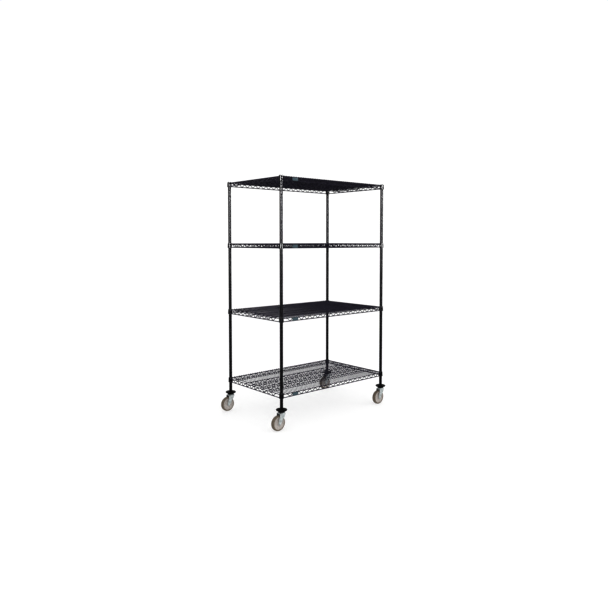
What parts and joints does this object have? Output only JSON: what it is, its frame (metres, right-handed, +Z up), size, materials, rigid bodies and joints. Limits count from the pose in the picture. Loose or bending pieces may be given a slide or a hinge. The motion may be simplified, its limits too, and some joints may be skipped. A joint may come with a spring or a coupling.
{
  "type": "wire shelf cart",
  "caption": "Tall black wire shelf cart with round grooved posts, welded wire shelves, a blank label plate on each shelf, round bumpers and swivel casters with grey wheels.",
  "frame": {"origin": "on the floor, in the middle of the cart's outline seen from above, with all casters trailing towards -X", "axes": "+Z up, +X along the long side of the shelves, front with the label plates towards -Y"},
  "size_m": [1.3216, 0.8128, 2.0244],
  "materials": {
    "black_epoxy": "satin",
    "black_plastic": "satin",
    "slate_plastic": "satin",
    "black_rubber": "matte",
    "zinc_steel": "satin",
    "grey_rubber": "matte",
    "grey_plastic": "satin"
  },
  "bodies": {
    "rack": {"post_front_left": "black_epoxy", "post_front_right": "black_epoxy", "post_back_left": "black_epoxy", "post_back_right": "black_epoxy", "post_caps": "black_plastic", "bottom_shelf_front_truss": "black_epoxy", "lower_shelf_front_truss": "black_epoxy", "upper_shelf_front_truss": "black_epoxy", "top_shelf_front_truss": "black_epoxy", "bottom_shelf_back_truss": "black_epoxy", "lower_shelf_back_truss": "black_epoxy", "upper_shelf_back_truss": "black_epoxy", "top_shelf_back_truss": "black_epoxy", "bottom_shelf_end_trusses": "black_epoxy", "lower_shelf_end_trusses": "black_epoxy", "upper_shelf_end_trusses": "black_epoxy", "top_shelf_end_trusses": "black_epoxy", "bottom_shelf_inner_trusses": "black_epoxy", "lower_shelf_inner_trusses": "black_epoxy", "upper_shelf_inner_trusses": "black_epoxy", "top_shelf_inner_trusses": "black_epoxy", "bottom_shelf_deck": "black_epoxy", "lower_shelf_deck": "black_epoxy", "upper_shelf_deck": "black_epoxy", "top_shelf_deck": "black_epoxy", "bottom_shelf_collars": "black_epoxy", "lower_shelf_collars": "black_epoxy", "upper_shelf_collars": "black_epoxy", "top_shelf_collars": "black_epoxy", "bottom_shelf_sleeves": "black_plastic", "lower_shelf_sleeves": "black_plastic", "upper_shelf_sleeves": "black_plastic", "top_shelf_sleeves": "black_plastic", "label_plates": "slate_plastic", "bumper_front_left": "black_rubber", "bumper_front_right": "black_rubber", "bumper_back_left": "black_rubber", "bumper_back_right": "black_rubber", "caster_stems": "zinc_steel"},
    "caster_front_left": {"fork_front_left": "zinc_steel", "wheel_bushing_front_left": "zinc_steel", "axle_front_left": "zinc_steel"},
    "wheel_front_left": {"tyre_front_left": "grey_rubber", "wheel_core_front_left": "grey_plastic"},
    "caster_front_right": {"fork_front_right": "zinc_steel", "wheel_bushing_front_right": "zinc_steel", "axle_front_right": "zinc_steel"},
    "wheel_front_right": {"tyre_front_right": "grey_rubber", "wheel_core_front_right": "grey_plastic"},
    "caster_back_left": {"fork_back_left": "zinc_steel", "wheel_bushing_back_left": "zinc_steel", "axle_back_left": "zinc_steel"},
    "wheel_back_left": {"tyre_back_left": "grey_rubber", "wheel_core_back_left": "grey_plastic"},
    "caster_back_right": {"fork_back_right": "zinc_steel", "wheel_bushing_back_right": "zinc_steel", "axle_back_right": "zinc_steel"},
    "wheel_back_right": {"tyre_back_right": "grey_rubber", "wheel_core_back_right": "grey_plastic"}
  },
  "joints": [
    {"name": "swivel_front_left", "type": "hinge", "parent": "rack", "child": "caster_front_left", "pos_m": [-0.56478, -0.36195, 0.138], "axis": [0, 0, 1], "continuous": true},
    {"name": "wheel_spin_front_left", "type": "hinge", "parent": "caster_front_left", "child": "wheel_front_left", "pos_m": [-0.59977, -0.36195, 0.061], "axis": [0, 1, 0], "continuous": true},
    {"name": "swivel_front_right", "type": "hinge", "parent": "rack", "child": "caster_front_right", "pos_m": [0.61633, -0.36195, 0.138], "axis": [0, 0, 1], "continuous": true},
    {"name": "wheel_spin_front_right", "type": "hinge", "parent": "caster_front_right", "child": "wheel_front_right", "pos_m": [0.58132, -0.36195, 0.061], "axis": [0, 1, 0], "continuous": true},
    {"name": "swivel_back_left", "type": "hinge", "parent": "rack", "child": "caster_back_left", "pos_m": [-0.56478, 0.36195, 0.138], "axis": [0, 0, 1], "continuous": true},
    {"name": "wheel_spin_back_left", "type": "hinge", "parent": "caster_back_left", "child": "wheel_back_left", "pos_m": [-0.59977, 0.36195, 0.061], "axis": [0, 1, 0], "continuous": true},
    {"name": "swivel_back_right", "type": "hinge", "parent": "rack", "child": "caster_back_right", "pos_m": [0.61633, 0.36195, 0.138], "axis": [0, 0, 1], "continuous": true},
    {"name": "wheel_spin_back_right", "type": "hinge", "parent": "caster_back_right", "child": "wheel_back_right", "pos_m": [0.58132, 0.36195, 0.061], "axis": [0, 1, 0], "continuous": true}
  ]
}
